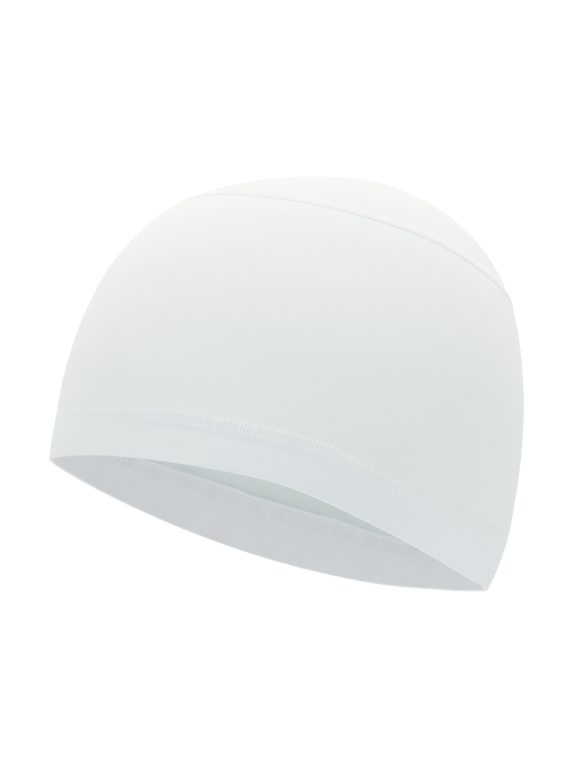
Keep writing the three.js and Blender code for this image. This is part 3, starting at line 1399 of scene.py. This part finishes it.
def bars(seam: Seam, pitch: float, row: StitchRow, offset: float, seed: int) -> StitchPath:
    """Threads that cross the seam band like the rungs of a ladder.

    Args:
        seam: The line that they follow.
        pitch: Distance between stitches.
        row: How the row is drawn.
        offset: Shift along the seam, in pitches.
        seed: Start of the random draws.

    Returns:
        The paths.
    """
    count = int(round(seam.length / pitch))
    step = seam.length / count
    chance = np.random.default_rng(SEED + seed)
    t = np.linspace(0.0, 1.0, BAR_STEPS + 1)[None, :]
    centre = (np.arange(count)[:, None] + 0.5 + offset) * step
    centre = centre + chance.normal(0.0, row.jitter * pitch, (count, 1))
    lean = row.lean * (1 + chance.normal(0.0, row.lean_jitter, (count, 1)))
    low = row.low + chance.normal(0.0, row.jitter, (count, 1))
    high = row.high + chance.normal(0.0, row.jitter, (count, 1))
    along = centre + lean * (t - 0.5) * step
    across = low + (high - low) * t
    arch = np.sin(math.pi * t**row.crest) ** 0.5
    proud = 1 + chance.normal(0.0, row.lift_jitter, (count, 1))
    lift = row.dig + (row.lift - row.dig) * arch * proud
    return StitchPath(along, across, lift, row.width, row.thickness)


def curls(seam: Seam, pitch: float, row: StitchRow, phase: float, seed: int) -> StitchPath:
    """Looper threads that curl to and fro across the seam on the inner face.

    Args:
        seam: The line that they follow.
        pitch: Distance between stitches.
        row: How the row is drawn.
        phase: Shift along the seam, in pitches.
        seed: Start of the random draws.

    Returns:
        The paths.
    """
    count = int(round(seam.length / pitch))
    step = seam.length / count
    chance = np.random.default_rng(SEED + seed)
    t = np.linspace(0.0, 1.0, CURL_STEPS + 1)[None, :]
    start = (np.arange(count)[:, None] + phase) * step
    swing = 1 + chance.normal(0.0, row.jitter * 2, (count, 1))
    middle, half = (row.high + row.low) / 2, (row.high - row.low) / 2
    # Each curl crosses the seam and comes back while it sways twice and rises three times.
    along = start + step * (t * 1.1 + row.lean * np.sin(4 * math.pi * t) * swing)
    drift = chance.normal(0.0, row.jitter * 4, (count, 1))
    across = middle + half * np.cos(2 * math.pi * t) * swing + drift * np.sin(math.pi * t)
    lift = row.lift * (0.6 + 0.6 * np.abs(np.sin(3 * math.pi * t + phase * 5))) + 0.0 * start
    return StitchPath(along, across, lift, row.width, row.thickness, taper=0.2)


@dataclass
class HemStitching:
    """The cover stitch of the hem: a ladder and teeth outside, a net of loops inside."""

    pitch: float = 1.4
    # How deep the threads are pulled in at brow and nape, and further at the brow alone. The
    # pull grows between two cosines of the turn.
    tight: float = 0.38
    tight_grows: tuple[float, float] = (0.45, 0.95)
    brow_tight: float = 0.2
    brow_tight_grows: tuple[float, float] = (0.92, 0.98)
    # The lower net inside hangs from this height, with a rise near the temples, and the upper
    # one from a line below the turned-up edge.
    net_height: float = 20.4
    net_rise: Fold = Fold(1.2, 1.1, 0.22)
    below_edge: float = 6.6

    @staticmethod
    def outer_face(level: np.ndarray, turn: np.ndarray, across: np.ndarray) -> np.ndarray:
        """Depth of the outer face, deeper at the brow and nape, where the threads are pulled tight.

        Args:
            level: 0 at the rim, top_level at the apex.
            turn: Radians from the brow.
            across: Millimetres across the seam, which change nothing here.

        Returns:
            Depth in millimetres.
        """
        height = spline(FORM.rows, level)[..., 0]
        cosine = np.cos(turn)
        tight = HemStitching.tight * ramp(np.abs(cosine), *HemStitching.tight_grows)
        tight = tight + HemStitching.brow_tight * ramp(cosine, *HemStitching.brow_tight_grows)
        return RELIEF.body(height, turn) + RELIEF.drape(height, turn) + tight

    @staticmethod
    def stitch_level(turn: np.ndarray) -> np.ndarray:
        """Level of the line between the ladder and the teeth."""
        return FORM.level_of(FORM.stitch_line + FORM.stitch_drift(turn))

    @staticmethod
    def net_level(turn: np.ndarray) -> np.ndarray:
        """Level that the lower half of the net inside hangs from."""
        return FORM.level_of(HemStitching.net_height + HemStitching.net_rise.at(from_brow(turn)))

    @staticmethod
    def edge_level(turn: np.ndarray) -> np.ndarray:
        """Level of the middle of the net, which follows the turned-up edge."""
        return FORM.level_of(HemBand.edge_height(turn) - HemStitching.below_edge)

    @staticmethod
    def inner_face(level: np.ndarray, turn: np.ndarray, across: np.ndarray) -> np.ndarray:
        """Depth of the hem's inner face."""
        height = spline(FORM.rows, level)[..., 0]
        return 2 * HemBand.fold_radius + RELIEF.back_crease(height, turn)

    def build(self, finishes: Finishes) -> list[bpy.types.Object]:
        """Sews the hem.

        Args:
            finishes: The shared finishes.

        Returns:
            The pieces.
        """
        outside = RingSeam(self.stitch_level, self.outer_face)
        ladder = StitchRow(
            low=-0.4, high=3.5, lean=0.12, width=0.68, thickness=0.6, lift=0.25, jitter=0.08, crest=1.15
        )
        left_leg = StitchRow(
            low=-3.3, high=0.35, lean=-0.35, width=0.42, thickness=0.5, lift=0.15, jitter=0.05
        )
        right_leg = replace(left_leg, lean=0.35)
        paths = [
            bars(outside, self.pitch, ladder, 0.0, 1),
            bars(outside, self.pitch, left_leg, 0.325, 2),
            bars(outside, self.pitch, right_leg, 0.675, 3),
        ]
        cover = sew("hem_cover_stitch", outside, Strand(6, BAR_STEPS), paths, Face.OUTER)
        dress(cover, [finishes.thread])
        fine = Strand(4, CURL_STEPS)
        low = RingSeam(self.net_level, self.inner_face)
        net = StitchRow(
            low=-4.0, high=0.4, lean=0.5, width=0.28, thickness=0.26, lift=0.1, jitter=0.17
        )
        high = RingSeam(self.edge_level, self.inner_face)
        loose = replace(net, low=-0.4, high=4.2, lean=-0.5, lift=0.13)
        nets = [
            sew("hem_looper_net", low, fine, [curls(low, self.pitch, net, 0.0, 4)], Face.INNER),
            sew("hem_edge_net", high, fine, [curls(high, self.pitch, loose, 0.45, 5)], Face.INNER),
        ]
        for piece in nets:
            dress(piece, [finishes.looper_thread])
        return [cover, *nets]


@dataclass
class CrownStitching:
    """The cover stitch along the crown seam, sewn down on the gusset's side."""

    pitch: float = 1.45

    @staticmethod
    def outer_face(level: np.ndarray, turn: np.ndarray, across: np.ndarray) -> np.ndarray:
        """Depth of the gusset's outer face beside the seam."""
        return CrownGusset.band_depth(across - CrownGusset.edge, turn)

    @staticmethod
    def inner_face(level: np.ndarray, turn: np.ndarray, across: np.ndarray) -> np.ndarray:
        """Depth of the gusset's inner face beside the seam."""
        return CrownGusset.band_depth(across - CrownGusset.edge, turn) + CrownGusset.cloth

    def build(self, finishes: Finishes) -> list[bpy.types.Object]:
        """Sews the crown seam.

        Args:
            finishes: The shared finishes.

        Returns:
            The pieces.
        """
        outside = RingSeam(FORM.crown_seam_level, self.outer_face)
        rungs = StitchRow(low=0.9, high=5.3, lean=0.5, width=0.5, thickness=0.34, lift=-0.02)
        back = StitchRow(low=0.9, high=5.3, lean=-0.5, width=0.36, thickness=0.28, lift=0.02)
        paths = [
            bars(outside, self.pitch, rungs, 0.0, 11),
            bars(outside, self.pitch, back, 0.5, 12),
        ]
        inside = RingSeam(FORM.crown_seam_level, self.inner_face)
        net = StitchRow(low=0.6, high=5.6, lean=0.3, width=0.34, thickness=0.3, lift=0.2)
        loops = [curls(inside, self.pitch, net, 0.0, 13)]
        pieces = [
            sew("crown_cover_stitch", outside, Strand(6, BAR_STEPS), paths, Face.OUTER),
            sew("crown_looper_net", inside, Strand(4, CURL_STEPS), loops, Face.INNER),
        ]
        for piece in pieces:
            dress(piece, [finishes.thread])
        return pieces


@dataclass
class CentreStitching:
    """Flat seams up the middle of the brow and the nape, where the side panels meet."""

    pitch: float = 1.45
    half_band: float = 2.5
    drawn_in: Fold = Fold(0.3, 0.0, 1.6)
    # Heights where the stitches start: above the hem's band outside, and its raw edge inside.
    outer_start: float = 21.6
    inner_start: float = 26.5

    @staticmethod
    def groove(across: np.ndarray) -> np.ndarray:
        """How far the seam is drawn in, at a distance across the centre line."""
        return CentreStitching.drawn_in.at(across)

    def build(self, finishes: Finishes) -> list[bpy.types.Object]:
        """Sews both centre seams.

        Args:
            finishes: The shared finishes.

        Returns:
            The pieces.
        """
        pieces = []
        low, high = -self.half_band, self.half_band
        rungs = StitchRow(low, high, lean=0.5, width=0.5, thickness=0.34, lift=-0.04)
        back = StitchRow(low, high, lean=-0.6, width=0.34, thickness=0.28, lift=0.0)
        net = StitchRow(low, high, lean=0.3, width=0.3, thickness=0.22, lift=0.08)
        for place, turn in (("front", 0.0), ("back", math.pi)):
            seam = CentreSeam(turn, self.outer_start, Face.OUTER)
            paths = [
                bars(seam, self.pitch, rungs, 0.0, 21),
                bars(seam, self.pitch, back, 0.4, 22),
            ]
            strand = Strand(6, BAR_STEPS)
            pieces.append(sew(f"{place}_seam_cover_stitch", seam, strand, paths, Face.OUTER))
            seam = CentreSeam(turn, self.inner_start, Face.INNER)
            paths = [curls(seam, self.pitch, net, 0.0, 23)]
            strand = Strand(4, CURL_STEPS)
            pieces.append(sew(f"{place}_seam_looper_net", seam, strand, paths, Face.INNER))
        for piece in pieces:
            dress(piece, [finishes.thread])
        return pieces


# The studio


@dataclass(frozen=True)
class SoftBox:
    """A square studio light that faces the cap, in metres and watts."""

    name: str
    place: tuple[float, float, float]
    size: float
    power: float
    colour: str


@dataclass
class Studio:
    """A pale floor far below the cap, a white surround, soft lights and the camera."""

    floor_height: float = -1.6
    floor_size: float = 7.0
    floor_colour: str = "#E6EBF0"
    surround_radius: float = 5.0
    surround_light: float = 24.0
    # The floor's own pale tone, and the distances over which it fades into the surround.
    floor_light: float = 3.0
    floor_fades: tuple[float, float] = (1.5, 4.6)
    floor_face_gap: float = 0.002
    azimuth: float = 88.2
    elevation: float = -15.2
    distance: float = 1.0
    lens: float = 109.9
    target: tuple[float, float, float] = (0.0, 0.0103, 0.0619)
    boxes: tuple[SoftBox, ...] = (
        SoftBox("top_soft_box", (0.0, 0.0, 1.6), 1.6, 412.0, "#FFFCEE"),
        SoftBox("brow_soft_box", (0.0, -1.7, 0.2), 1.2, 23.8, "#FAFBFF"),
        SoftBox("nape_soft_box", (0.0, 1.55, 0.75), 1.2, 41.0, "#FBFFFD"),
        SoftBox("low_soft_box", (0.0, 0.0, -1.4), 1.2, 41.0, "#F5F7FF"),
        SoftBox("left_brow_soft_box", (1.2, -1.2, 0.3), 1.0, 36.9, "#D2F4FF"),
        SoftBox("left_nape_soft_box", (1.4, 0.85, 0.45), 1.0, 36.9, "#D2F4FF"),
        SoftBox("right_brow_soft_box", (-1.2, -1.2, 0.3), 1.0, 36.9, "#D2F4FF"),
        SoftBox("right_nape_soft_box", (-1.2, 1.2, 0.3), 1.0, 36.9, "#D2F4FF"),
    )

    def glow(self, name: str) -> tuple[bpy.types.Material, bpy.types.Node]:
        """Makes a white glow as strong as the surround's.

        Args:
            name: Name of the finish.

        Returns:
            The finish and the node that glows.
        """
        material = bare_material(name)
        tree = material.node_tree
        light = add_node(tree, "ShaderNodeEmission", {"Strength": self.surround_light}, {})
        add_node(tree, "ShaderNodeOutputMaterial", {}, {"Surface": light.outputs[0]})
        return material, light

    @staticmethod
    def show_only(backdrop: bpy.types.Object) -> None:
        """Lets a backdrop be seen by the camera, but light and shade nothing.

        Args:
            backdrop: The backdrop.
        """
        backdrop.visible_diffuse = False
        backdrop.visible_glossy = False
        backdrop.visible_transmission = False
        backdrop.visible_shadow = False

    def floor(self) -> None:
        """A plain pale floor."""
        deselect_all()
        bpy.ops.mesh.primitive_plane_add(size=self.floor_size, location=(0.0, 0.0, self.floor_height))
        floor = bpy.context.object
        floor.name = "floor"
        material = bpy.data.materials.new("pale_floor")
        material.use_nodes = True
        shader = material.node_tree.nodes["Principled BSDF"]
        shader.inputs["Base Color"].default_value = linear(self.floor_colour)
        shader.inputs["Roughness"].default_value = 0.9
        floor.data.materials.append(material)

    def floor_face(self) -> None:
        """The even face that the camera sees on the floor, fading to white far off."""
        deselect_all()
        height = self.floor_height + self.floor_face_gap
        reach = math.sqrt(self.surround_radius**2 - height**2)
        bpy.ops.mesh.primitive_circle_add(
            vertices=96, radius=reach, fill_type="NGON", location=(0.0, 0.0, height)
        )
        face = bpy.context.object
        face.name = "floor_face"
        material, light = self.glow("pale_floor_face")
        tree = material.node_tree
        place = add_node(tree, "ShaderNodeTexCoord", {}, {})
        middle = {0: place.outputs["Object"]}
        away = add_node(tree, "ShaderNodeVectorMath", {"operation": "LENGTH"}, middle)
        start, end = self.floor_fades
        fade = {"interpolation_type": "SMOOTHSTEP", "From Min": start, "From Max": end}
        fade.update({"To Min": self.floor_light, "To Max": self.surround_light})
        tone = add_node(tree, "ShaderNodeMapRange", fade, {"Value": away.outputs["Value"]})
        tree.links.new(tone.outputs["Result"], light.inputs["Strength"])
        face.data.materials.append(material)
        self.show_only(face)

    def surround(self) -> None:
        """A white surround that only the camera sees, so that it doesn't light the cap."""
        deselect_all()
        bpy.ops.mesh.primitive_uv_sphere_add(segments=48, ring_count=24, radius=self.surround_radius)
        dome = bpy.context.object
        dome.name = "white_surround"
        dome.data.materials.append(self.glow("white_surround")[0])
        self.show_only(dome)

    def lights(self) -> None:
        """Soft boxes all round, which the camera doesn't see, and no light from the air."""
        for box in self.boxes:
            data = bpy.data.lights.new(box.name, "AREA")
            data.shape = "SQUARE"
            data.size = box.size
            data.energy = box.power
            data.color = linear(box.colour)[:3]
            light = bpy.data.objects.new(box.name, data)
            bpy.context.scene.collection.objects.link(light)
            light.visible_camera = False
            light.location = box.place
            aim = np.array(self.target) - np.array(box.place)
            light.rotation_mode = "QUATERNION"
            light.rotation_quaternion = Vector(aim.tolist()).to_track_quat("-Z", "Y")
        world = bpy.data.worlds.new("dark_air")
        world.use_nodes = True
        world.node_tree.nodes["Background"].inputs["Strength"].default_value = 0.0
        bpy.context.scene.world = world

    def camera(self) -> None:
        """The camera, from the wearer's left and a little below the rim."""
        data = bpy.data.cameras.new("camera")
        data.lens = self.lens
        camera = bpy.data.objects.new("camera", data)
        bpy.context.scene.collection.objects.link(camera)
        turn, tilt = math.radians(self.azimuth), math.radians(self.elevation)
        level = math.cos(tilt)
        back = Vector((math.sin(turn) * level, -math.cos(turn) * level, math.sin(tilt)))
        camera.location = Vector(self.target) + back * self.distance
        camera.rotation_mode = "QUATERNION"
        camera.rotation_quaternion = (-back).to_track_quat("-Z", "Y")
        bpy.context.scene.camera = camera

    def build(self) -> None:
        """Sets up the studio."""
        self.floor()
        self.floor_face()
        self.surround()
        self.lights()
        self.camera()


def main() -> None:
    """Builds the cap and its studio in order."""
    logging.basicConfig(level=logging.INFO, format="%(message)s")
    Studio().build()
    finishes = Finishes.make()
    pieces = [SidePanel(side).build(finishes) for side in Side]
    pieces.append(CrownGusset().build(finishes))
    pieces.append(HemBand().build(finishes))
    for sewing in (HemStitching(), CrownStitching(), CentreStitching()):
        pieces.extend(sewing.build(finishes))
    for piece in pieces:
        LOG.info("%s: %d faces", piece.name, len(piece.data.polygons))


if __name__ == "__main__":
    main()
